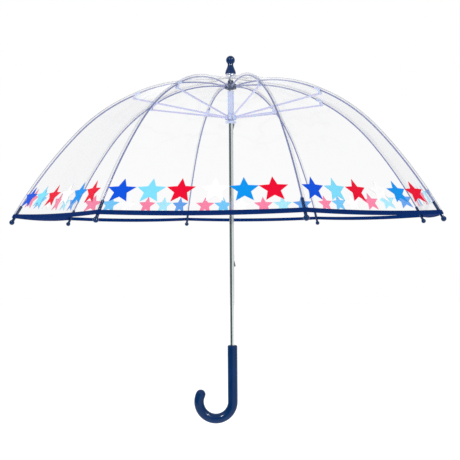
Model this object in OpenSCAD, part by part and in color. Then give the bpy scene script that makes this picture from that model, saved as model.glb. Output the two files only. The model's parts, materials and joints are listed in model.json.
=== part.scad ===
// Child's clear dome umbrella, shown open. Origin: the middle of the grip, on
// the shaft's axis. +Z runs up the shaft, and the hook opens towards -X.
// A rib stands in a plane through the axis. A point of it is [radius, height],
// and a slope is the angle in degrees by which the rib falls as it runs out.

/* [Shaft and handle] */
// Outer diameter of the shaft tube
shaft_d = 8; // [7:0.1:8.6]
// Wall of the shaft tube
shaft_wall = 0.6; // [0.5:0.1:0.8]
// Diameter of the round handle
handle_d = 17; // [15:0.5:18]
// Height of the handle's top edge
handle_top = 43; // [35:1:60]
// Depth of the hook's centre below the origin
hook_drop = 54; // [45:1:65]
// Bend radius of the hook, to the middle of the handle
hook_r = 29; // [26:1:34]
// How far round the hook goes, in degrees
hook_turn = 206; // [180:1:220]

/* [Dome] */
// Number of ribs
rib_count = 8; // [8:1:8]
// Turn of the first rib from -Y towards +X
rib_yaw = 15; // [0:1:44]
// Distance of the tip balls from the shaft's axis
tip_r = 365; // [350:1:380]
// Height of the tip balls
tip_z = 255; // [245:1:265]
// Slope of a rib where its outer part begins
outer_slope = 25; // [22:1:28]
// Slope at which the outer part becomes flatter in its bend
elbow_slope = 47; // [45:1:49]
// Bend radius of the outer part above the elbow
elbow_r = 300; // [290:1:310]
// Diameter of a rib rod
rib_d = 2.5; // [2:0.1:2.6]

/* [Film] */
// Thickness of the film
film_t = 0.3; // [0.3:0.1:0.6]
// Width of the hem binding
hem_w = 7; // [5:0.5:8]
// Droop of the hem between two ribs
hem_droop = 3.5; // [0:0.5:6]

/* [Fold] */
// Height of the rib pivots on the crown
crown_z = 487; // [485:1:489]
// Distance of the stretcher pivot on a rib from the axis
joint_r = 167; // [160:1:172]
// Height of the stretcher pivot on a rib
joint_z = 460.5; // [458:0.5:463]
// Distance of the crown and runner pivots from the axis
hub_r = 7.5; // [7.5:0.1:7.8]

/* [Hidden] */
$fn = 48;
ribs = [1:rib_count];

navy = [0.02, 0.12, 0.33];
steel = [0.72, 0.75, 0.78];
milky = [0.82, 0.87, 0.97];
clear = [0.93, 0.95, 0.98, 0.35];

shaft_r = shaft_d / 2;
shaft_low = 20;
shaft_high = 518;
fit_gap = 0.02;            // between pieces that are fixed to each other
through = 600;             // a cut this long goes right through any piece
run_gap = 0.08;            // between the shaft and the runner that slides on it
rib_r = rib_d / 2;
step_deg = 360 / rib_count;

// pivots of the fold: the rib and the stretcher are equally long, so the runner
// pivot lies as far below the rib joint as the crown pivot lies above it
runner_z = 2 * joint_z - crown_z;
link_len = norm([joint_r - hub_r, crown_z - joint_z]);
link_slope = atan2(crown_z - joint_z, joint_r - hub_r);
eye_r = 2.2;
eye_hole = 0.8;
wire_r = 0.5;
pin_r = 0.7;
bar_h = 3;
bar_t = 1.6;

// crown and runner
hub_core = hub_r - eye_r - 0.3;
hub_disc_r = 10;
hub_disc_h = 8;
slot_w = rib_d + 0.6;
crown_low = crown_z - 6;
crown_high = crown_z + 10;
crown_pin_z = crown_z + 7;
sleeve_r = 5.3;
sleeve_low = runner_z - 10;
sleeve_high = crown_low - 2;
flange_r = 9.4;
flange_h = 3;
slit_w = 2.4;
land_w = 5.8;

// catches, in a slot between two ribs
catch_yaw = rib_yaw + 1.5 * step_deg;
catch_t = 1.6;
catch_len = 17;
upper_catch_z = sleeve_low - 0.5 - catch_len;
lower_catch_z = 195;

// the rib's curve: one arc from the crown to the flex point, then two arcs that
// run into each other at the elbow and end at the tip ball
flex_rise = 4.5;
flex_pt = [joint_r + 1, joint_z + flex_rise];
crown_pt = [hub_r, crown_z];
tip_pt = [tip_r, tip_z];
inner_half = 19.6;
inner_chord = flex_pt - crown_pt;
inner_tilt = atan2(-inner_chord[1], inner_chord[0]);
inner_r = norm(inner_chord) / (2 * sin(inner_half));
inner_from = inner_tilt - inner_half;
inner_to = inner_tilt + inner_half;
elbow_pt = flex_pt + elbow_r * (across(elbow_slope) - across(outer_slope));
low_chord = tip_pt - elbow_pt;
low_tilt = atan2(-low_chord[1], low_chord[0]);
low_r = norm(low_chord) / (2 * sin(low_tilt - elbow_slope));
tip_slope = 2 * low_tilt - elbow_slope;

// unit vector that points outwards, square to a rib of the given slope
function across(slope) = [sin(slope), cos(slope)];
function arc_centre(p, r, slope) = p - r * across(slope);
inner_mid = arc_centre(crown_pt, inner_r, inner_from);
elbow_mid = arc_centre(flex_pt, elbow_r, outer_slope);
low_mid = arc_centre(elbow_pt, low_r, elbow_slope);
function slope_before_tip(length) = tip_slope - length / low_r * 180 / PI;

ball_r = 4.1;
ferrule_r = 2.3;
bore_end = 1.5;             // where the ferrule's bore stops, before the middle of the ball
ferrule_len = 30;
gap_at_flex = 1.6;
flex_gap_deg = gap_at_flex / inner_r * 180 / PI;
collar_len = 11;

// film: its inner face stands off the rib, clear of the ferrules and joints
film_off = 3.4;
film_top = [6, crown_high + 3.8];
hem_low = 6.5;              // distance of the hem's lower edge from the tip ball
hem_off = 3.2;
hem_t = 1.6;
seam_gap = 0.12;           // half the gap between neighbouring gores, in degrees
film_columns = 8;
hem_columns = 12;

// places a shape made for the rib plane XZ at rib i
module at_rib(i) {
    rotate([0, 0, rib_yaw - 90 + (i - 1) * step_deg]) children();
}

// torus segment of a rib between two slopes
module arc_rod(mid, bend_r, from, to, r) {
    translate([mid[0], 0, mid[1]])
        rotate([90, 0, 0])
            rotate([0, 0, 90 - to])
                rotate_extrude(angle = to - from, $fn = 96)
                    translate([bend_r, 0]) circle(r = r, $fn = 24);
}

// short cylinder across the rib plane
module cross_disc(p, r, t) {
    translate([p[0], t / 2, p[1]]) rotate([90, 0, 0]) cylinder(r = r, h = t);
}

module rib_inner(i) {
    start = inner_from + 0.4;
    color(milky) at_rib(i) difference() {
        union() {
            arc_rod(inner_mid, inner_r, start, inner_to - flex_gap_deg, rib_r);
            cross_disc(crown_pt, eye_r, rib_d - 0.5);
        }
        cross_disc(crown_pt, eye_hole, 2 * rib_d);
    }
}

module rib_outer(i) {
    // the end ball is a little thicker and the lower arc a little thinner, so that the three join as one solid
    step = 0.03;
    lap_deg = 0.3;
    color(milky) at_rib(i) {
        translate([flex_pt[0], 0, flex_pt[1]]) sphere(r = rib_r + step);
        arc_rod(elbow_mid, elbow_r, outer_slope, elbow_slope, rib_r);
        arc_rod(low_mid, low_r, elbow_slope - lap_deg, slope_before_tip(bore_end + 0.5), rib_r - 3 * step);
    }
}

module rib_tip(i) {
    bore_r = rib_r + 0.06;
    color(navy) at_rib(i) difference() {
        union() {
            translate([tip_r, 0, tip_z]) sphere(r = ball_r);
            arc_rod(low_mid, low_r, slope_before_tip(ferrule_len), tip_slope, ferrule_r);
        }
        arc_rod(low_mid, low_r, slope_before_tip(ferrule_len + 1), slope_before_tip(bore_end), bore_r);
    }
}

// collar on the rib with two ears that hold the stretcher's pin
module rib_joint(i) {
    ear_t = 0.9;
    ear_at = bar_t / 2 + 0.35;
    joint_pt = [joint_r, joint_z];
    to = inner_to - flex_gap_deg;
    from = to - collar_len / inner_r * 180 / PI;
    color(milky) at_rib(i) {
        difference() {
            union() {
                arc_rod(inner_mid, inner_r, from, to, ferrule_r);
                for (side = [-1, 1])
                    translate([0, side * (ear_at + ear_t / 2) + ear_t / 2, 0])
                        rotate([90, 0, 0]) linear_extrude(ear_t) {
                            translate(joint_pt) circle(r = eye_r);
                            polygon([joint_pt + [-eye_r, 0], joint_pt + [eye_r, 0],
                                     flex_pt + [-0.8, -0.6], flex_pt + [-6, 2.4]]);
                        }
            }
            arc_rod(inner_mid, inner_r, from - 1, to + 1, rib_r + 0.06);
        }
        cross_disc(joint_pt, pin_r, 2 * (ear_at + ear_t) + 0.6);
    }
}

module stretcher(i) {
    color(milky) at_rib(i) difference() {
        union() {
            translate([hub_r, bar_t / 2, runner_z]) rotate([90, 0, 0]) rotate([0, 0, link_slope])
                translate([0, -bar_h / 2, 0]) cube([link_len, bar_h, bar_t]);
            cross_disc([hub_r, runner_z], eye_r, bar_t);
            cross_disc([joint_r, joint_z], eye_r, bar_t);
        }
        cross_disc([hub_r, runner_z], eye_hole, 2 * bar_t);
        cross_disc([joint_r, joint_z], eye_hole, 2 * bar_t);
    }
}

// disc with a slot for each rib or stretcher, and a groove for its wire
module slotted_disc(z, width) {
    difference() {
        translate([0, 0, z - hub_disc_h / 2]) cylinder(r = hub_disc_r, h = hub_disc_h);
        for (i = ribs) at_rib(i)
            translate([hub_core, -width / 2, z - hub_disc_h]) cube([hub_disc_r, width, 2 * hub_disc_h]);
        hub_ring(z, wire_r + 0.05);
    }
}

module hub_ring(z, r) {
    translate([0, 0, z]) rotate_extrude() translate([hub_r, 0]) circle(r = r, $fn = 24);
}

module crown() {
    color(navy) difference() {
        union() {
            translate([0, 0, crown_low]) cylinder(r = hub_core, h = crown_high - crown_low);
            slotted_disc(crown_z, slot_w);
        }
        translate([0, 0, crown_low - 1]) cylinder(r = shaft_r + fit_gap, h = through);
        crown_cross(pin_r + fit_gap, 2 * hub_disc_r);
    }
}

module crown_cross(r, length) {
    translate([0, length / 2, crown_pin_z]) rotate([90, 0, 0]) cylinder(r = r, h = length);
}

module crown_wire() {
    color(steel) hub_ring(crown_z, wire_r);
}

module crown_pin() {
    color(steel) crown_cross(pin_r, 2 * hub_core + 0.8);
}

module runner() {
    color(milky) difference() {
        union() {
            translate([0, 0, sleeve_low]) cylinder(r = hub_core, h = sleeve_high - sleeve_low);
            translate([0, 0, runner_z + 6]) cylinder(r = sleeve_r, h = sleeve_high - runner_z - 6);
            slotted_disc(runner_z, bar_t + 0.6);
            translate([0, 0, sleeve_low]) cylinder(r = flange_r, h = flange_h);
        }
        translate([0, 0, sleeve_low - 1]) cylinder(r = shaft_r + run_gap, h = through);
        rotate([0, 0, catch_yaw - 90]) {
            translate([0, -slit_w / 2, sleeve_low - 1]) cube([hub_disc_r + 2, slit_w, through]);
            // the disc's land in front of the slit is left out
            translate([hub_core + 0.3, -land_w / 2, runner_z - hub_disc_h]) cube([hub_disc_r, land_w, 2 * hub_disc_h - 2]);
        }
    }
}

module runner_wire() {
    // the ring is open where the catch passes
    open_deg = 24;
    color(steel) translate([0, 0, runner_z]) rotate([0, 0, catch_yaw - 90 + open_deg / 2])
        rotate_extrude(angle = 360 - open_deg) translate([hub_r, 0]) circle(r = wire_r, $fn = 24);
}

// leaf that stands out of the shaft; a flipped one has its shoulder below
module catch_leaf(z, flipped) {
    color(steel) rotate([0, 0, catch_yaw - 90]) translate([0, 0, z]) mirror([0, 0, flipped ? 1 : 0])
        translate([0, catch_t / 2, 0]) rotate([90, 0, 0]) linear_extrude(catch_t)
            polygon([[-1, -2], [1.5, -2], [2.9, 1.5], [6.2, catch_len - 2.5],
                     [6.2, catch_len], [1.2, catch_len], [-1, 1.5]]);
}

module catch_slot(z, flipped) {
    slot_h = catch_len + 3.5;
    rotate([0, 0, catch_yaw - 90]) translate([0, 0, z]) mirror([0, 0, flipped ? 1 : 0])
        translate([0, -catch_t / 2 - 0.2, -2.8]) cube([shaft_d, catch_t + 0.4, slot_h]);
}

module shaft_tube() {
    color(steel) difference() {
        translate([0, 0, shaft_low]) cylinder(r = shaft_r, h = shaft_high - shaft_low);
        translate([0, 0, shaft_low - 1]) cylinder(r = shaft_r - shaft_wall, h = through);
        catch_slot(upper_catch_z, false);
        catch_slot(lower_catch_z, true);
        crown_cross(pin_r + fit_gap, 2 * hub_disc_r);
    }
}

module handle() {
    r = handle_d / 2;
    edge = 1.6;
    bend_r = r - 0.03;
    cap_r = bend_r - 0.05;
    color(navy) difference() {
        union() {
            translate([0, 0, -hook_drop]) cylinder(r = r, h = handle_top + hook_drop - edge);
            translate([0, 0, handle_top - edge]) cylinder(r1 = r, r2 = r - edge, h = edge);
            translate([-hook_r, 0, -hook_drop]) rotate([90, 0, 0]) rotate([0, 0, -hook_turn]) {
                // the bend starts a little way inside the straight part
                rotate_extrude(angle = hook_turn + 2, $fn = 72)
                    translate([hook_r, 0]) circle(r = bend_r);
                // the round end starts a little way inside the hook
                translate([hook_r, 0, 0]) rotate([90, 0, 0]) rotate_extrude()
                    polygon(concat([[0, -0.8], [cap_r, -0.8]],
                                   [for (k = [0:6]) cap_r * [cos(15 * k), sin(15 * k)]]));
            }
        }
        translate([0, 0, shaft_low - 1]) cylinder(r = shaft_r + fit_gap, h = handle_top);
    }
}

module top_washer() {
    color(clear) translate([0, 0, crown_high + 4.6]) difference() {
        cylinder(r1 = 9.1, r2 = 8.4, h = 7);
        translate([0, 0, -1]) cylinder(r = shaft_r + fit_gap, h = 10);
    }
}

module finial() {
    low = crown_high + 11.8;
    ball = 7.7;
    ball_z = 532.3;
    color(navy) difference() {
        union() {
            translate([0, 0, ball_z]) sphere(r = ball);
            rotate_extrude()
                polygon([[0, low], [9.2, low], [9.3, low + 1.8], [8.4, low + 5], [6.4, low + 10],
                         [5, low + 14], [4.8, low + 16.5], [5.4, low + 19], [0, low + 19]]);
        }
        translate([0, 0, low - 1]) cylinder(r = shaft_r + fit_gap, h = shaft_high - low + 1.4);
    }
}

// point of the canopy: off is its distance from the rib line, p the rib line's
// place as [arc's centre, bend radius, slope], t runs from seam to seam
function rib_place(p, off) = p[0] + (p[1] + off) * across(p[2]);
function chord_point(rho, z, t, drop) =
    let (a = (rib_yaw - 90) + seam_gap, b = a + step_deg - 2 * seam_gap)
    [rho * ((1 - t) * cos(a) + t * cos(b)), rho * ((1 - t) * sin(a) + t * sin(b)),
     z - drop * 4 * t * (1 - t)];
hem_places = [for (d = [hem_low + hem_w, hem_low]) [low_mid, low_r, slope_before_tip(d)]];
film_low = hem_places[0][2] - 0.04;
film_places = concat(
    [for (k = [0:4]) [inner_mid, inner_r, inner_to * k / 4]],
    [for (k = [0:5]) [elbow_mid, elbow_r, outer_slope + (elbow_slope - outer_slope) * k / 5]],
    [for (k = [1:5]) [low_mid, low_r, elbow_slope + (film_low - elbow_slope) * k / 5]]);
function film_lift(face) = film_off + face * film_t;
function film_row(face) = concat([film_top + [0, face * film_t]],
    [for (p = film_places) rib_place(p, film_lift(face))]);
// the droop grows over the lowest rows
function row_drop(k, rows) = hem_droop * pow(max(0, (k - rows + 4) / 3), 2);

// closed sheet between two faces, each rows x columns points
module sheet(low_face, high_face, rows, columns) {
    n = rows * columns;
    function at(r, c, face) = face * n + r * columns + c;
    quads = concat(
        [for (r = [0:rows - 2], c = [0:columns - 2])
            [at(r, c, 0), at(r, c + 1, 0), at(r + 1, c + 1, 0), at(r + 1, c, 0)]],
        [for (r = [0:rows - 2], c = [0:columns - 2])
            [at(r, c, 1), at(r + 1, c, 1), at(r + 1, c + 1, 1), at(r, c + 1, 1)]],
        [for (c = [0:columns - 2]) [at(0, c, 0), at(0, c, 1), at(0, c + 1, 1), at(0, c + 1, 0)]],
        [for (c = [0:columns - 2])
            [at(rows - 1, c, 0), at(rows - 1, c + 1, 0), at(rows - 1, c + 1, 1), at(rows - 1, c, 1)]],
        [for (r = [0:rows - 2]) [at(r, 0, 0), at(r + 1, 0, 0), at(r + 1, 0, 1), at(r, 0, 1)]],
        [for (r = [0:rows - 2])
            [at(r, columns - 1, 0), at(r, columns - 1, 1),
             at(r + 1, columns - 1, 1), at(r + 1, columns - 1, 0)]]);
    polyhedron(concat(low_face, high_face), [for (q = quads) each [[q[0], q[1], q[2]], [q[0], q[2], q[3]]]]);
}

module canopy_gore(i) {
    rows = len(film_row(0));
    faces = [for (face = [0, 1]) [for (k = [0:rows - 1], c = [0:film_columns])
        let (p = film_row(face)[k])
        chord_point(p[0], p[1], c / film_columns, row_drop(k, rows))]];
    color(clear) rotate([0, 0, (i - 1) * step_deg]) sheet(faces[0], faces[1], rows, film_columns + 1);
}

module canopy_hem() {
    ends = 0.02;
    faces = [for (face = [0, 1]) [for (p = hem_places, c = [0:hem_columns])
        let (q = rib_place(p, hem_off + face * hem_t), t = ends + (1 - 2 * ends) * c / hem_columns)
        chord_point(q[0], q[1], t, hem_droop)]];
    color(navy) for (i = ribs)
        rotate([0, 0, (i - 1) * step_deg]) sheet(faces[0], faces[1], 2, hem_columns + 1);
}

shaft_tube();
handle();
finial();
top_washer();
crown();
crown_wire();
crown_pin();
runner();
runner_wire();
catch_leaf(upper_catch_z, false);  // upper_catch
catch_leaf(lower_catch_z, true);  // lower_catch
canopy_hem();
for (i = ribs) {
    rib_inner(i);
    rib_outer(i);
    rib_tip(i);
    rib_joint(i);
    stretcher(i);
    canopy_gore(i);
}
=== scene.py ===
import json
import math
import bpy
import bmesh
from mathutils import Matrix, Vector, noise

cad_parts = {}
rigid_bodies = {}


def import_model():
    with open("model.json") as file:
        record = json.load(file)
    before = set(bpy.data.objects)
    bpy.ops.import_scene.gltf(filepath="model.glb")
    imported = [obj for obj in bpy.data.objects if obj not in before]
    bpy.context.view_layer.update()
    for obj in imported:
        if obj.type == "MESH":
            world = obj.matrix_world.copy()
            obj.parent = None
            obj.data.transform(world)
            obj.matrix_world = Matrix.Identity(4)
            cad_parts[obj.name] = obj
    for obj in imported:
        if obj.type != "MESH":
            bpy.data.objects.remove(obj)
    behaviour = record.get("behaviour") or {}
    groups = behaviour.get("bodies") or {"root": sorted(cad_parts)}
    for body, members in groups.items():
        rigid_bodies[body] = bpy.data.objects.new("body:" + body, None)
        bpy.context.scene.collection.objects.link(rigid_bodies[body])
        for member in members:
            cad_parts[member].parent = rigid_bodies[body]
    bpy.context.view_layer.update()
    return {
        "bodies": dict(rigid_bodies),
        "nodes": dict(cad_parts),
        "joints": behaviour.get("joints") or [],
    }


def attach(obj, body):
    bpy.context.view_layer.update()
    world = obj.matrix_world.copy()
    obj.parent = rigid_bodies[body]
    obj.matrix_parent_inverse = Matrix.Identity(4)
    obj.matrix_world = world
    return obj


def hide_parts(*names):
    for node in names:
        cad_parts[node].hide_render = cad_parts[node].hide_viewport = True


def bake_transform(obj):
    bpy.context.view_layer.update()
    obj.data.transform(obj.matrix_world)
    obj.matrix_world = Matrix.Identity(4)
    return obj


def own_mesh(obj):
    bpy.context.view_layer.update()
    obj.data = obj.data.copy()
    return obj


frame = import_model()
scene = bpy.context.scene
jointAt = {j["name"]: Vector(j["pos_m"]) for j in frame["joints"] if "pos_m" in j}
ribCount = sum(1 for name in frame["bodies"] if name.startswith("rib_end_"))
stepAngle = 2 * math.pi / ribCount

# camera and studio
studio = {
    "sensorWidth": 36, "cameraSide": -0.0075, "cameraGap": 1.405, "cameraHeight": 0.2375, "focalShare": 1.778,
    "shiftX": 0.0059, "shiftY": 0.0041, "leanDegrees": 0.4,
    "floorHeight": -0.7, "floorReach": 9.0, "floorGlow": 0.25, "worldWhite": 1.0, "worldGloss": 0.85,
    "lampAim": (0, 0, 0.25),
}


def makeCamera(values):
    data = bpy.data.cameras.new("camera")
    data.sensor_width = values["sensorWidth"]
    data.lens = values["sensorWidth"] * values["focalShare"]
    data.shift_x = values["shiftX"]
    data.shift_y = values["shiftY"]
    camera = bpy.data.objects.new("camera", data)
    camera.location = (values["cameraSide"], -values["cameraGap"], values["cameraHeight"])
    camera.rotation_euler = (math.pi / 2, math.radians(values["leanDegrees"]), 0)
    scene.collection.objects.link(camera)
    scene.camera = camera


# shader helpers
class Signal:
    # wraps a socket, so that shader maths is written as plain expressions
    def __init__(self, recipe, socket):
        self.recipe = recipe
        self.socket = socket

    def combine(self, operation, first, second=None):
        inputs = {0: first} if second is None else {0: first, 1: second}
        return self.recipe.add("ShaderNodeMath", {"operation": operation}, inputs)[0]

    def __add__(self, other):
        return self.combine("ADD", self, other)

    def __sub__(self, other):
        return self.combine("SUBTRACT", self, other)

    def __rsub__(self, other):
        return self.combine("SUBTRACT", other, self)

    def __mul__(self, other):
        return self.combine("MULTIPLY", self, other)

    def __pow__(self, other):
        return self.combine("POWER", self, other)

    def __abs__(self):
        return self.combine("ABSOLUTE", self)

    def __lt__(self, other):
        return self.combine("LESS_THAN", self, other)

    def sine(self):
        return self.combine("SINE", self)

    __radd__ = __add__
    __rmul__ = __mul__


class Outputs:
    # the outputs of a node, each handed back as a Signal
    def __init__(self, recipe, node):
        self.recipe = recipe
        self.node = node

    def __getitem__(self, key):
        return Signal(self.recipe, self.node.outputs[key])


# where the Mix node keeps its factor, its two colours and their blend
mixSlots = {"factor": 0, "first": 6, "second": 7, "result": 2}


class Recipe:
    # one material's node tree
    def __init__(self, name):
        self.material = bpy.data.materials.new(name)
        self.material.use_nodes = True
        self.tree = self.material.node_tree
        self.tree.nodes.clear()

    def add(self, kind, settings=None, inputs=None):
        node = self.tree.nodes.new(kind)
        for key, value in (settings or {}).items():
            setattr(node, key, value)
        for key, value in (inputs or {}).items():
            if isinstance(value, Signal):
                self.tree.links.new(value.socket, node.inputs[key])
            else:
                node.inputs[key].default_value = value
        return Outputs(self, node)

    def place(self, space="Object"):
        return self.add("ShaderNodeTexCoord")[space]

    def axis(self, space, key):
        return self.add("ShaderNodeSeparateXYZ", inputs={0: self.place(space)})[key]

    def stretch(self, scale, space="Object"):
        return self.add("ShaderNodeMapping", inputs={"Vector": self.place(space), "Scale": scale})[0]

    def speckle(self, scale, detail=2.0, vector=None):
        vector = vector or self.place()
        return self.add("ShaderNodeTexNoise", inputs={"Vector": vector, "Scale": scale, "Detail": detail})[0]

    def blendColours(self, factor, first, second):
        slots = mixSlots
        wanted = {slots["factor"]: factor, slots["first"]: first, slots["second"]: second}
        return self.add("ShaderNodeMix", {"data_type": "RGBA"}, wanted)[slots["result"]]

    def bump(self, height, strength, distance):
        return self.add("ShaderNodeBump", inputs={"Height": height, "Strength": strength, "Distance": distance})[0]

    def finish(self, shader):
        self.add("ShaderNodeOutputMaterial", inputs={0: shader})
        return self.material


def tone(red, green, blue, share=1.0):
    return (red * share, green * share, blue * share, 1.0)


# materials
navyLook = {
    "colour": (0.0002, 0.022, 0.093), "dark": 0.85, "light": 1.3, "roughness": 0.13, "roughnessSpread": 0.1,
    "coat": 0.05, "coatRoughness": 0.06, "shine": 0.16, "mottle": 38.0, "mottleHeight": 0.5, "grain": 900.0,
    "grainHeight": 0.12, "partingHalf": 0.00016, "partingHeight": 0.7, "bump": 0.3, "bumpDepth": 0.0002,
}


def makeNavyPlastic(name, values, parting):
    recipe = Recipe(name)
    mottle = recipe.speckle(values["mottle"], 3.0)
    fine = recipe.speckle(values["grain"])
    dark, light = (tone(*values["colour"], values[key]) for key in ("dark", "light"))
    colour = recipe.blendColours(mottle, dark, light)
    height = fine * values["grainHeight"] + mottle * values["mottleHeight"]
    if parting:  # the mould's parting line runs round the hook in its own plane
        height = height + (abs(recipe.axis("Object", "Y")) < values["partingHalf"]) * values["partingHeight"]
    shader = recipe.add("ShaderNodeBsdfPrincipled", inputs={
        "Base Color": colour, "Roughness": values["roughness"] + mottle * values["roughnessSpread"],
        "Coat Weight": values["coat"], "Coat Roughness": values["coatRoughness"],
        "Specular IOR Level": values["shine"], "Normal": recipe.bump(height, values["bump"], values["bumpDepth"])})
    return recipe.finish(shader[0])


metalLook = {
    "colour": (0.80, 0.83, 0.84), "dull": 0.94, "roughness": 0.06, "streakRoughness": 0.08, "smudge": 26.0,
    "smudgeRoughness": 0.05, "drawn": 2600.0, "along": 14.0, "bump": 0.12, "bumpDepth": 0.0001,
}


def makeMetal(name, values):
    # drawn tube: streaks run along Z
    recipe = Recipe(name)
    streaks = recipe.speckle(1.0, 3.0, recipe.stretch((values["drawn"], values["drawn"], values["along"])))
    smudge = recipe.speckle(values["smudge"])
    colour = recipe.blendColours(smudge, tone(*values["colour"], values["dull"]), tone(*values["colour"]))
    roughness = values["roughness"] + streaks * values["streakRoughness"] + smudge * values["smudgeRoughness"]
    shader = recipe.add("ShaderNodeBsdfPrincipled", inputs={
        "Base Color": colour, "Metallic": 1.0, "Roughness": roughness,
        "Normal": recipe.bump(streaks, values["bump"], values["bumpDepth"])})
    return recipe.finish(shader[0])


milkyLook = {
    "cloud": 60.0, "fine": 1500.0, "dark": 0.93, "roughnessSpread": 0.12, "shine": 0.3, "glow": 0.25,
    "glowDepth": 0.004, "fineHeight": 0.3, "cloudHeight": 0.4, "bump": 0.2, "bumpDepth": 0.0002,
}


def makeMilkyPlastic(name, colour, roughness, values=milkyLook):
    recipe = Recipe(name)
    cloud = recipe.speckle(values["cloud"], 3.0)
    fine = recipe.speckle(values["fine"], 1.0)
    base = recipe.blendColours(cloud, tone(*colour, values["dark"]), tone(*colour))
    height = fine * values["fineHeight"] + cloud * values["cloudHeight"]
    shader = recipe.add("ShaderNodeBsdfPrincipled", inputs={
        "Base Color": base, "Roughness": roughness + cloud * values["roughnessSpread"],
        "Specular IOR Level": values["shine"], "Subsurface Weight": values["glow"],
        "Subsurface Scale": values["glowDepth"], "Normal": recipe.bump(height, values["bump"], values["bumpDepth"])})
    return recipe.finish(shader[0])


filmLook = {
    "tint": (0.982, 0.982, 0.983), "edge": (0.50, 0.51, 0.545), "edgeDark": 0.9, "edgeLight": 1.1,
    "haze": 0.004, "rim": 0.42, "power": 4.6, "index": 1.5, "roughness": 0.07, "roughnessSpread": 0.06,
    "ripple": 14.0, "rippleHeight": 0.7, "wrinkle": 46.0, "wrinkleStretch": (1.0, 1.0, 0.35), "wrinkleHeight": 0.3,
    "fold": 17.0, "foldStretch": (1.0, 1.0, 1.6), "weldRidges": 2400.0, "weldHeight": 0.12, "bump": 0.35,
    "bumpDepth": 0.004, "crease": 0.16, "creaseLow": 0.38, "creaseHigh": 0.49, "creaseLeast": 0.03, "creasePower": 14,
}


def makeClear(name, values, haze, weld=False):
    # clear sheet: light goes through it, and grazing faces turn grey and shine
    recipe = Recipe(name)
    ripple = recipe.speckle(values["ripple"], 3.0)
    wrinkle = recipe.speckle(values["wrinkle"], 2.0, recipe.stretch(values["wrinkleStretch"]))
    fold = recipe.speckle(values["fold"], 1.5, recipe.stretch(values["foldStretch"]))
    height = ripple * values["rippleHeight"] + wrinkle * values["wrinkleHeight"]
    if weld:  # cross ridges left by the welding bar
        height = height + (recipe.axis("UV", "Y") * values["weldRidges"]).sine() * values["weldHeight"]
    normal = recipe.bump(height, values["bump"], values["bumpDepth"])
    through = recipe.add("ShaderNodeBsdfTransparent", inputs={"Color": tone(*values["tint"])})
    dark, light = (tone(*values["edge"], values[key]) for key in ("edgeDark", "edgeLight"))
    gloss = recipe.add("ShaderNodeBsdfPrincipled", inputs={
        "Base Color": recipe.blendColours(ripple, dark, light),
        "Roughness": values["roughness"] + wrinkle * values["roughnessSpread"],
        "IOR": values["index"], "Normal": normal})
    facing = recipe.add("ShaderNodeLayerWeight", inputs={"Blend": 0.5, "Normal": normal})["Facing"]
    # fine creases catch the light, mostly where the film is gathered at the top
    high = recipe.add("ShaderNodeMapRange", inputs={
        "Value": recipe.axis("Object", "Z"), "From Min": values["creaseLow"], "From Max": values["creaseHigh"],
        "To Min": values["creaseLeast"], "To Max": 1.0})[0]
    ridge = (1 - abs(fold * 2 - 1)) ** values["creasePower"]
    share = haze + (facing ** values["power"]) * values["rim"] + ridge * high * values["crease"]
    mixed = recipe.add("ShaderNodeMixShader", inputs={0: share, 1: through[0], 2: gloss[0]})
    return recipe.finish(mixed[0])


inkColours = {
    "royal": (0.0, 0.080, 0.70), "cyan": (0.20, 0.70, 0.94), "red": (0.80, 0.0, 0.028),
    "white": (0.96, 0.96, 0.965), "azure": (0.0, 0.28, 0.82),
}


backColours = {  # the print's underside, as it shows through the film
    "royal": (0.13, 0.36, 0.82), "cyan": (0.40, 0.80, 0.95), "red": (0.93, 0.23, 0.38),
    "white": (0.96, 0.96, 0.965), "azure": (0.17, 0.56, 0.90),
}


inkLook = {
    "patch": 120.0, "grain": 900.0, "dark": 0.92, "roughness": 0.32, "roughnessSpread": 0.12,
    "coverSpread": 0.03, "index": 1.12, "bump": 0.15, "bumpDepth": 0.0001, "outerCover": 0.985, "innerCover": 0.94,
}


def makeInk(name, colour, cover, values=inkLook):
    # printed ink: it covers nearly everything, a little less in patches
    recipe = Recipe(name)
    patch = recipe.speckle(values["patch"], 3.0)
    grain = recipe.speckle(values["grain"])
    shade = recipe.blendColours(patch, tone(*colour, values["dark"]), tone(*colour))
    shader = recipe.add("ShaderNodeBsdfPrincipled", inputs={
        "Base Color": shade, "Roughness": values["roughness"] + patch * values["roughnessSpread"],
        "Alpha": cover + patch * values["coverSpread"], "IOR": values["index"],
        "Normal": recipe.bump(grain, values["bump"], values["bumpDepth"])})
    return recipe.finish(shader[0])


tapeLook = {
    "threads": 7200.0, "dust": 90.0, "weaveShade": 0.25, "dustShade": 0.5, "dark": 0.75, "light": 1.35,
    "roughness": 0.62, "roughnessSpread": 0.15, "index": 1.09, "relief": 0.5, "bump": 0.35, "bumpDepth": 0.0002,
}


def makeTape(name, colour, values=tapeLook):
    # woven binding with a shine; the weave follows the tape's own UV in metres
    recipe = Recipe(name)
    across = (recipe.axis("UV", "X") * values["threads"]).sine()
    along = (recipe.axis("UV", "Y") * values["threads"]).sine()
    weave = across * along
    dust = recipe.speckle(values["dust"], 3.0)
    share = weave * values["weaveShade"] + dust * values["dustShade"]
    shade = recipe.blendColours(share, tone(*colour, values["dark"]), tone(*colour, values["light"]))
    height = weave * values["relief"] + dust * values["relief"]
    shader = recipe.add("ShaderNodeBsdfPrincipled", inputs={
        "Base Color": shade, "Roughness": values["roughness"] + dust * values["roughnessSpread"],
        "IOR": values["index"], "Normal": recipe.bump(height, values["bump"], values["bumpDepth"])})
    return recipe.finish(shader[0])


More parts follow.
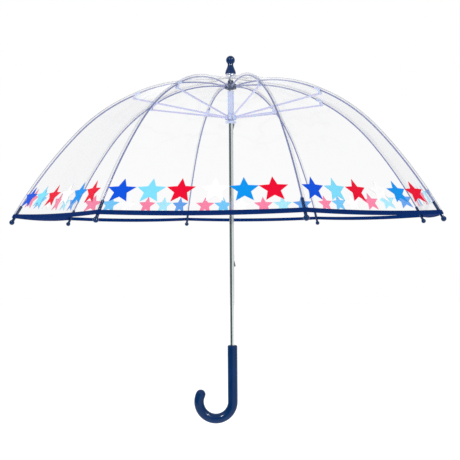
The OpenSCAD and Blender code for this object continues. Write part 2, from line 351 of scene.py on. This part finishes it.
handleNavy = makeNavyPlastic("handleNavy", navyLook, True)
fittingNavy = makeNavyPlastic("fittingNavy", navyLook, False)
platedSteel = makeMetal("platedSteel", metalLook)
plainWire = makeMetal("plainWire", {**metalLook, "colour": (0.62, 0.64, 0.67), "roughness": 0.24, "drawn": 900.0})
milkyNylon = makeMilkyPlastic("milkyNylon", (0.55, 0.62, 0.85), 0.30)
stretcherGlass = makeMilkyPlastic("stretcherGlass", (0.53, 0.58, 0.80), 0.28)
rodGlass = makeMilkyPlastic("rodGlass", (0.21, 0.245, 0.45), 0.22)
clearFilm = makeClear("clearFilm", filmLook, filmLook["haze"])
seamLook = {**filmLook, "edge": (0.02, 0.055, 0.20), "rim": 0.75, "power": 3.0}
seamFilm = makeClear("seamFilm", seamLook, 0.07, weld=True)
collarFilm = makeClear("collarFilm", {**filmLook, "rim": 0.2, "crease": 0.06}, filmLook["haze"])
collarClear = makeClear("collarClear", {**filmLook, "edge": (0.45, 0.52, 0.72), "rim": 0.8}, 0.35)
hemTape = makeTape("hemTape", (0.0006, 0.021, 0.135))
hemThread = makeTape("hemThread", (0.004, 0.035, 0.16))
outerInk = {key: makeInk(key + "Ink", colour, inkLook["outerCover"]) for key, colour in inkColours.items()}
innerInk = {key: makeInk(key + "InkBack", colour, inkLook["innerCover"]) for key, colour in backColours.items()}
print("stage: materials made")

# the dome's surface
dome = {
    "outerSlope": 25, "elbowSlope": 47, "elbowRadius": 0.300, "innerBulge": 19.6,
    "tipRadius": 0.365, "tipHeight": 0.255, "filmOffset": 0.00355, "topRadius": 0.006, "topHeight": 0.5009,
    "collarEnd": 0.022, "hemLow": 0.0065, "hemWidth": 0.007, "hemLap": 0.001, "hemDroop": 0.0035,
    "droopFrom": 0.8, "droopSpan": 0.2, "sag": 0.004, "sagTurn": 1.05, "ripple": 0.0011, "rippleScale": 34.0,
    "pucker": 0.0032, "puckerDepth": 0.6, "puckerFolds": 6, "puckerReach": 0.42, "puckerFade": 1.5,
    "puckerStart": 0.02,
}


def outward(slope):
    return Vector((math.sin(slope), math.cos(slope)))


def slopeOf(chord):
    return math.atan2(-chord.y, chord.x)


def makeDomeLine(values):
    # the rib's line as arcs: (centre, radius, first slope, last slope), each slope an angle below level
    pivot = jointAt["canopy_fold"]
    bend = jointAt["rib_flex_1"]
    crown = Vector((pivot.xy.length, pivot.z))
    flex = Vector((bend.xy.length, bend.z))
    tip = Vector((values["tipRadius"], values["tipHeight"]))
    half = math.radians(values["innerBulge"])
    innerRadius = (flex - crown).length / (2 * math.sin(half))
    tilt = slopeOf(flex - crown)
    innerCentre = crown - innerRadius * outward(tilt - half)
    start, turn = math.radians(values["outerSlope"]), math.radians(values["elbowSlope"])
    elbowCentre = flex - values["elbowRadius"] * outward(start)
    elbow = elbowCentre + values["elbowRadius"] * outward(turn)
    lowTilt = slopeOf(tip - elbow)
    lowRadius = (tip - elbow).length / (2 * math.sin(lowTilt - turn))
    lowCentre = elbow - lowRadius * outward(turn)
    return {
        "inner": (innerCentre, innerRadius, 0.0, tilt + half),
        "elbow": (elbowCentre, values["elbowRadius"], start, turn),
        "low": (lowCentre, lowRadius, turn, 2 * lowTilt - turn),
    }


domeLine = makeDomeLine(dome)


def arcPoint(name, share, offset):
    # point of an arc by share of its turn
    centre, radius, first, last = domeLine[name]
    slope = first + (last - first) * share
    return centre + (radius + offset) * outward(slope), slope


def arcLength(name):
    _, radius, first, last = domeLine[name]
    return radius * (last - first)


topPoint = Vector((dome["topRadius"], dome["topHeight"]))


def makeBridge():
    # the film runs straight from the washer until it meets the ribs' arc; gives that slope and place
    centre, radius = domeLine["inner"][:2]
    reach = radius + dome["filmOffset"]
    gap = topPoint - centre
    touch = math.atan2(gap.x, gap.y) + math.acos(reach / gap.length)
    return touch, centre + reach * outward(touch)


touchSlope, touchPoint = makeBridge()
bridgeLength = (touchPoint - topPoint).length
restLength = domeLine["inner"][1] * (domeLine["inner"][3] - touchSlope)
innerLength = bridgeLength + restLength
outerLength = arcLength("elbow") + arcLength("low")


def filmLine(place, offset):
    # place is metres from the hole at the top, along the middle of the film; gives radius, height and slope
    if place < bridgeLength:
        point = topPoint.lerp(touchPoint, place / bridgeLength)
        return point + (offset - dome["filmOffset"]) * outward(touchSlope), touchSlope
    place -= bridgeLength
    if place <= restLength:
        centre, radius, _, last = domeLine["inner"]
        slope = touchSlope + (last - touchSlope) * place / restLength
        return centre + (radius + offset) * outward(slope), slope
    place -= restLength
    if place <= arcLength("elbow"):
        return arcPoint("elbow", place / arcLength("elbow"), offset)
    return arcPoint("low", (place - arcLength("elbow")) / arcLength("low"), offset)


fullLength = innerLength + outerLength
hemTop = fullLength - dome["hemLow"] - dome["hemWidth"]


def ribAngle(number):
    name = "canopy_fold" if number == 1 else f"rib_fold_{number}"
    return math.atan2(jointAt[name].y, jointAt[name].x)


def filmPoint(number, side, place, across, offset=None):
    # across is 0 at the rib and 0.5 midway to the next rib on that side
    offset = dome["filmOffset"] if offset is None else offset
    line, slope = filmLine(place, offset)
    here = ribAngle(number)
    there = here + side * stepAngle
    flat = Vector((math.cos(here), math.sin(here))) * (1 - across)
    flat += Vector((math.cos(there), math.sin(there))) * across
    middle = 4 * across * (1 - across)
    share = place / fullLength
    point = Vector((line.x * flat.x, line.x * flat.y, line.y))
    point.z -= dome["hemDroop"] * middle * max(0.0, (share - dome["droopFrom"]) / dome["droopSpan"]) ** 2
    normal = Vector((flat.normalized().x * math.sin(slope), flat.normalized().y * math.sin(slope), math.cos(slope)))
    slack = dome["sag"] * middle * math.sin(math.pi * min(1, share * dome["sagTurn"]))
    ripple = noise.noise(point * dome["rippleScale"]) * dome["ripple"] * middle * (1 - share)
    fade = max(0.0, 1 - share / dome["puckerReach"]) ** dome["puckerFade"]
    gather = math.cos(dome["puckerFolds"] * ribCount * math.atan2(point.y, point.x)) * middle
    gather *= dome["pucker"] * fade * min(1.0, place / dome["puckerStart"])
    return point - normal * (slack + ripple + abs(gather) * dome["puckerDepth"])


def halfWidth(place):
    # from a rib to midway between two ribs, straight across
    return filmLine(place, dome["filmOffset"])[0].x * math.sin(stepAngle / 2)


def sideName(side):
    return "ahead" if side > 0 else "behind"


def meshObject(name, points, faces, materials, uvs=None, faceSlots=None):
    mesh = bpy.data.meshes.new(name)
    mesh.from_pydata([tuple(p) for p in points], [], faces)
    for material in materials:
        mesh.materials.append(material)
    if uvs:
        layer = mesh.uv_layers.new(name="UVMap")
        for loop in mesh.loops:
            layer.data[loop.index].uv = uvs[loop.vertex_index]
    for polygon in mesh.polygons:
        polygon.use_smooth = True
        if faceSlots:
            polygon.material_index = faceSlots[polygon.index]
    mesh.update()
    item = bpy.data.objects.new(name, mesh)
    scene.collection.objects.link(item)
    return item


def gridFaces(rows, columns, flip):
    faces = []
    for row in range(rows - 1):
        for column in range(columns - 1):
            corner = row * columns + column
            face = (corner, corner + columns, corner + columns + 1, corner + 1)
            faces.append(face[::-1] if flip else face)
    return faces


closing = {"keep": 0.042, "joint": "canopy_fold"}


def gatherAxis(number, side, part):
    # lies in the film and square to the rib's chord
    here = ribAngle(number)
    radial = Vector((math.cos(here), math.sin(here), 0))
    there = here + side * stepAngle
    level = (Vector((math.cos(there), math.sin(there), 0)) - radial).normalized()
    first, last = ("inner", "inner") if part == "inner" else ("elbow", "low")
    start = arcPoint(first, 0, 0)[0]
    end = arcPoint(last, 1, 0)[0]
    chord = (radial * (end.x - start.x) + Vector((0, 0, end.y - start.y))).normalized()
    axis = (level - chord * level.dot(chord)).normalized()
    anchor = radial * end.x + Vector((0, 0, end.y))
    return axis, anchor


def fit(piece, number, side, part):
    # every soft piece but the collar goes on its rib and takes its own mesh; the collar stays unattached, with its
    # place baked into its mesh
    if part == "collar":
        radial = Vector((math.cos(ribAngle(number)), math.sin(ribAngle(number)), 0))
        first, last = (filmLine(film["spans"][part][k], 0)[0] for k in (0, 1))
        ends = [tuple(radial * spot.x + Vector((0, 0, spot.y))) for spot in (first, last)]
        ends[0]
        ends[1]
        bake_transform(piece)
        return
    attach(piece, f"rib_{number}" if part == "inner" else f"rib_end_{number}")
    axis, anchor = gatherAxis(number, side, part)
    closing["joint"]
    tuple(axis)
    tuple(anchor)
    closing["keep"]
    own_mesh(piece)


film = {
    "columns": 17,
    # each part's start and end along the film, and its rows
    "spans": {
        "collar": (0.0, dome["collarEnd"], 8),
        "inner": (dome["collarEnd"], innerLength, 26),
        "outer": (innerLength, hemTop + dome["hemLap"], 36),
    },
}


def makeFilm(number, side, part):
    start, end, rows = film["spans"][part]
    columns = film["columns"]
    points, uvs, area = [], [], 0.0
    for row in range(rows):
        place = start + (end - start) * row / (rows - 1)
        width = halfWidth(place)
        area += width * (end - start) / rows
        for column in range(columns):
            across = 0.5 * column / (columns - 1)
            points.append(filmPoint(number, side, place, across))
            uvs.append((2 * across * width, place))
    material = collarFilm if part == "collar" else clearFilm
    name = f"film_{part}_{number}_{sideName(side)}"
    piece = meshObject(name, points, gridFaces(rows, columns, side < 0), [material], uvs)
    gore = number if side > 0 else (number - 2) % ribCount + 1
    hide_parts(f"canopy_gore_{gore}")
    end - start
    fit(piece, number, side, part)


# stars
star = {
    "points": 5, "radius": 0.0205, "waist": 0.45, "fromTip": 0.0435, "lift": 0.00022, "rings": 5, "edgeSteps": 4,
    "places": (0.085, 0.240, 0.395, 0.570, 0.718, 0.866),
    "colours": ("royal", "cyan", "red", "white", "azure", "red"),
}


def starOutline(values):
    # corners in and out by turns, then each edge is cut so that the print follows the film
    corners = []
    total = 2 * values["points"]
    for k in range(total):
        reach = values["radius"] * (1 if k % 2 == 0 else values["waist"])
        turn = math.pi / 2 + k * math.pi / values["points"]
        corners.append(Vector((reach * math.cos(turn), reach * math.sin(turn))))
    outline = []
    for k, corner in enumerate(corners):
        after = corners[(k + 1) % total]
        outline += [corner.lerp(after, step / values["edgeSteps"]) for step in range(values["edgeSteps"])]
    return outline


def starPatch(number, side, centre, lift):
    outline = starOutline(star)
    rings = star["rings"]
    middle = fullLength - star["fromTip"]
    points, faces, uvs = [], [], []

    def put(spot):
        place = middle - spot.y
        width = 2 * halfWidth(place)
        across = centre + side * spot.x / width
        points.append(filmPoint(number, side, place, across, dome["filmOffset"] + lift))
        uvs.append((spot.x, spot.y))

    put(Vector((0, 0)))
    for ring in range(1, rings + 1):
        for spot in outline:
            put(spot * ring / rings)
    total = len(outline)
    for k in range(total):
        after = (k + 1) % total
        faces.append((0, 1 + k, 1 + after))
        for ring in range(rings - 1):
            low, high = 1 + ring * total, 1 + (ring + 1) * total
            faces.append((low + k, high + k, high + after, low + after))
    return points, faces, uvs


def makeStars(number, side):
    # from a rib towards the next one in turn go royal, cyan and red; the rest belong to the next rib's side
    picks = range(3) if side > 0 else range(3, 6)
    points, faces, uvs, slots = [], [], [], []
    materials = []
    for pick in picks:
        centre = star["places"][pick] if side > 0 else 1 - star["places"][pick]
        colour = star["colours"][pick]
        for inks, lift, inward in ((outerInk, star["lift"], False), (innerInk, -star["lift"], True)):
            patch, patchFaces, patchUvs = starPatch(number, side, centre, lift)
            base = len(points)
            points += patch
            uvs += patchUvs
            for face in patchFaces:
                moved = tuple(base + corner for corner in face)
                faces.append(moved[::-1] if inward else moved)
            materials.append(inks[colour])
            slots += [len(materials) - 1] * len(patchFaces)
    stars = meshObject(f"stars_{number}_{sideName(side)}", points, faces, materials, uvs, slots)
    fit(stars, number, side, "outer")


# hem and its stitches
hem = {
    "thickness": 0.0017, "lift": -0.0001, "columns": 19, "corners": 12, "squareness": 0.55,
    "stitchGap": 0.0032, "stitchLength": 0.0021, "stitchWidth": 0.00035, "stitchInset": 0.0011,
    "stitchSides": 6, "stitchSeat": 0.93, "stitchFrom": 0.01, "stitchSpan": 0.48, "stitchSteps": 24,
}


def makeStitchTree(material):
    tree = bpy.data.node_groups.new("hemStitches", "GeometryNodeTree")
    sockets = tree.interface
    sockets.new_socket("Geometry", in_out="INPUT", socket_type="NodeSocketGeometry")
    for name in ("Gap", "Length", "Width"):
        sockets.new_socket(name, in_out="INPUT", socket_type="NodeSocketFloat")
    sockets.new_socket("Geometry", in_out="OUTPUT", socket_type="NodeSocketGeometry")
    add = tree.nodes.new
    join = tree.links.new
    source, result = add("NodeGroupInput"), add("NodeGroupOutput")
    curve, spread = add("GeometryNodeMeshToCurve"), add("GeometryNodeCurveToPoints")
    spread.mode = "LENGTH"
    thread = add("GeometryNodeMeshCylinder")
    thread.inputs["Vertices"].default_value = hem["stitchSides"]
    place = add("GeometryNodeInstanceOnPoints")
    real, paint = add("GeometryNodeRealizeInstances"), add("GeometryNodeSetMaterial")
    paint.inputs["Material"].default_value = material
    join(source.outputs["Geometry"], curve.inputs[0])
    join(curve.outputs[0], spread.inputs["Curve"])
    join(source.outputs["Gap"], spread.inputs["Length"])
    join(source.outputs["Length"], thread.inputs["Depth"])
    join(source.outputs["Width"], thread.inputs["Radius"])
    join(spread.outputs["Points"], place.inputs["Points"])
    join(thread.outputs["Mesh"], place.inputs["Instance"])
    join(spread.outputs["Rotation"], place.inputs["Rotation"])
    join(place.outputs[0], real.inputs[0])
    join(real.outputs[0], paint.inputs[0])
    join(paint.outputs[0], result.inputs[0])
    return tree


stitchTree = makeStitchTree(hemThread)


def stitchMesh(points):
    # runs the stitch tree along a line of points and hands back the plain mesh
    mesh = bpy.data.meshes.new("stitchLine")
    mesh.from_pydata([tuple(p) for p in points], [(k, k + 1) for k in range(len(points) - 1)], [])
    line = bpy.data.objects.new("stitchLine", mesh)
    scene.collection.objects.link(line)
    modifier = line.modifiers.new("stitches", "NODES")
    modifier.node_group = stitchTree
    wanted = {"Gap": hem["stitchGap"], "Length": hem["stitchLength"], "Width": hem["stitchWidth"]}
    for item in stitchTree.interface.items_tree:
        if item.in_out == "INPUT" and item.name in wanted:
            modifier[item.identifier] = wanted[item.name]
    graph = bpy.context.evaluated_depsgraph_get()
    made = bpy.data.meshes.new_from_object(line.evaluated_get(graph))
    bpy.data.objects.remove(line)
    return made


def makeHem(number, side):
    # folded tape: a loop of corners carried along the film's edge
    half = dome["hemWidth"] / 2
    thick = hem["thickness"] / 2
    loop = []
    for k in range(hem["corners"]):
        turn = 2 * math.pi * k / hem["corners"]
        x = math.copysign(abs(math.cos(turn)) ** hem["squareness"], math.cos(turn)) * half
        y = math.copysign(abs(math.sin(turn)) ** hem["squareness"], math.sin(turn)) * thick
        loop.append((x, y))
    middle = hemTop + half
    base = dome["filmOffset"] + hem["lift"]
    points, uvs, faces = [], [], []
    columns, around = hem["columns"], len(loop)
    for column in range(columns):
        across = 0.5 * column / (columns - 1)
        run = across * 2 * dome["tipRadius"] * math.sin(stepAngle / 2)
        for k, (x, y) in enumerate(loop):
            points.append(filmPoint(number, side, middle + x, across, base + y))
            uvs.append((run, half * 2 * k / around))
    for column in range(columns - 1):
        for k in range(around):
            a, b = column * around + k, column * around + (k + 1) % around
            face = (a, b, b + around, a + around)
            faces.append(face if side < 0 else face[::-1])
    tape = meshObject("tape", points, faces, [hemTape, hemThread], uvs)
    build = bmesh.new()
    build.from_mesh(tape.data)
    for inset in (-1, 1):
        for wall in (-1, 1):
            row = middle + inset * (half - hem["stitchInset"])
            height = base + wall * (thick * hem["stitchSeat"])
            line = []
            for k in range(hem["stitchSteps"] + 1):
                across = hem["stitchFrom"] + hem["stitchSpan"] * k / hem["stitchSteps"]
                line.append(filmPoint(number, side, row, across, height))
            stitches = stitchMesh(line)
            before = len(build.faces)
            build.from_mesh(stitches)
            build.faces.ensure_lookup_table()
            for polygon in build.faces[before:]:
                polygon.material_index = 1
            bpy.data.meshes.remove(stitches)
    build.normal_update()
    build.to_mesh(tape.data)
    build.free()
    tape.name = f"hem_{number}_{sideName(side)}"
    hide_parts("canopy_hem")
    fit(tape, number, side, "outer")


# welded seams over the ribs
seam = {"width": 0.0034, "widest": 0.45, "lift": 0.0005, "rows": 30, "steps": (-1, -0.5, 0, 0.5, 1)}


def makeSeam(number, part):
    start, end = (film["spans"]["inner"][0], innerLength) if part == "inner" else (innerLength, hemTop)
    rows, points, uvs = seam["rows"], [], []
    for row in range(rows):
        place = start + (end - start) * row / (rows - 1)
        width = 2 * halfWidth(place)
        for step in seam["steps"]:
            across = abs(step) * min(seam["width"] / width, seam["widest"])
            side = 1 if step >= 0 else -1
            points.append(filmPoint(number, side, place, across, dome["filmOffset"] + seam["lift"]))
            uvs.append((step * seam["width"], place))
    strip = meshObject(f"seam_{part}_{number}", points, gridFaces(rows, len(seam["steps"]), False), [seamFilm], uvs)
    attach(strip, f"rib_{number}" if part == "inner" else f"rib_end_{number}")


makeCamera(studio)
for number in range(1, ribCount + 1):
    for side in (1, -1):
        makeFilm(number, side, "collar")
        makeFilm(number, side, "inner")
        makeFilm(number, side, "outer")
        makeStars(number, side)
        makeHem(number, side)
    makeSeam(number, "inner")
    makeSeam(number, "outer")
print("stage: canopy made")

# finishes of the carried-over pieces
nodeLooks = {
    "shaft_tube": platedSteel, "handle": handleNavy, "finial": fittingNavy, "top_washer": collarClear,
    "crown": fittingNavy, "crown_wire": plainWire, "crown_pin": plainWire, "runner": milkyNylon,
    "runner_wire": plainWire, "upper_catch": platedSteel, "lower_catch": platedSteel,
    "rib_inner": rodGlass, "rib_outer": rodGlass, "rib_tip": fittingNavy, "rib_joint": milkyNylon,
    "stretcher": stretcherGlass,
}


def dressNodes():
    for name, node in frame["nodes"].items():
        family = name if name in nodeLooks else name.rsplit("_", 1)[0]
        if family in nodeLooks:
            node.data.materials.clear()
            node.data.materials.append(nodeLooks[family])


dressNodes()
print("stage: fittings dressed")


# studio
paintLook = {
    "cloud": 3.0, "dark": 0.985, "floor": (0.93, 0.93, 0.93), "floorRoughness": 0.6,
    "card": (0.05, 0.085, 0.08), "cardRoughness": 0.9,
}
cards = {  # each one's place is degrees round from X, gap from the shaft and half width
    "low": -0.6, "high": 1.6,
    "places": {"cardLeft": (217, 1.9, 3.1), "cardRight": (340, 3.4, 0.3)},
}
lamps = {  # each one's place, size and power
    "lightLeft": ((-1.8, -1.6, 2.0), 1.6, 12), "lightBack": ((0.3, 2.4, 1.8), 2.4, 14),
    "sparkleRight": ((1.3, -1.9, 1.5), 0.3, 60), "sparkleLeft": ((-0.9, -1.7, 1.3), 0.22, 34),
}


def paint(name, colour, roughness, glow=0.0):
    recipe = Recipe(name)
    cloud = recipe.speckle(paintLook["cloud"])
    shade = recipe.blendColours(cloud, tone(*colour, paintLook["dark"]), tone(*colour))
    shader = recipe.add("ShaderNodeBsdfPrincipled", inputs={
        "Base Color": shade, "Roughness": roughness, "Emission Color": (1, 1, 1, 1), "Emission Strength": glow})
    return recipe.finish(shader[0])


def stageSheet(name, corners, material):
    sheet = meshObject(name, corners, [(0, 1, 2, 3)], [material])
    return sheet


def makeFloor(values):
    reach, low = values["floorReach"], values["floorHeight"]
    corners = [(-reach, -reach, low), (reach, -reach, low), (reach, reach, low), (-reach, reach, low)]
    surface = paint("floorPaint", paintLook["floor"], paintLook["floorRoughness"], values["floorGlow"])
    stageSheet("floor", corners, surface)


def makeCards(values):
    # dark cards that only show in shiny pieces, to draw the shaft's and the film's edges
    card = paint("cardPaint", paintLook["card"], paintLook["cardRoughness"])
    low, high = Vector((0, 0, values["low"])), Vector((0, 0, values["high"]))
    for name, (turn, gap, width) in values["places"].items():
        angle = math.radians(turn)
        centre = Vector((math.cos(angle), math.sin(angle), 0)) * gap
        edge = Vector((-math.sin(angle), math.cos(angle), 0)) * width
        corners = [centre - edge + low, centre + edge + low, centre + edge + high, centre - edge + high]
        sheet = stageSheet(name, corners, card)
        sheet.visible_camera = False
        sheet.visible_diffuse = False
        sheet.visible_shadow = False
        sheet.visible_transmission = False


def makeLamps(values, aim):
    for name, (place, size, power) in values.items():
        data = bpy.data.lights.new(name, "AREA")
        data.size = size
        data.energy = power
        lamp = bpy.data.objects.new(name, data)
        lamp.location = place
        lamp.rotation_euler = (Vector(aim) - Vector(place)).to_track_quat("-Z", "Y").to_euler()
        lamp.visible_camera = False
        lamp.visible_diffuse = not name.startswith("sparkle")
        scene.collection.objects.link(lamp)


def makeWorld(values):
    world = bpy.data.worlds.new("world")
    world.use_nodes = True
    nodes, join = world.node_tree.nodes, world.node_tree.links.new
    background = nodes["Background"]
    background.inputs["Color"].default_value = (1, 1, 1, 1)
    rays, pick = nodes.new("ShaderNodeLightPath"), nodes.new("ShaderNodeMix")
    pick.inputs["A"].default_value = values["worldWhite"]
    pick.inputs["B"].default_value = values["worldGloss"]
    join(rays.outputs["Is Glossy Ray"], pick.inputs["Factor"])
    join(pick.outputs["Result"], background.inputs["Strength"])
    scene.world = world
    scene.view_settings.view_transform = "Standard"


makeFloor(studio)
makeCards(cards)
makeLamps(lamps, studio["lampAim"])
makeWorld(studio)
print("stage: studio made")
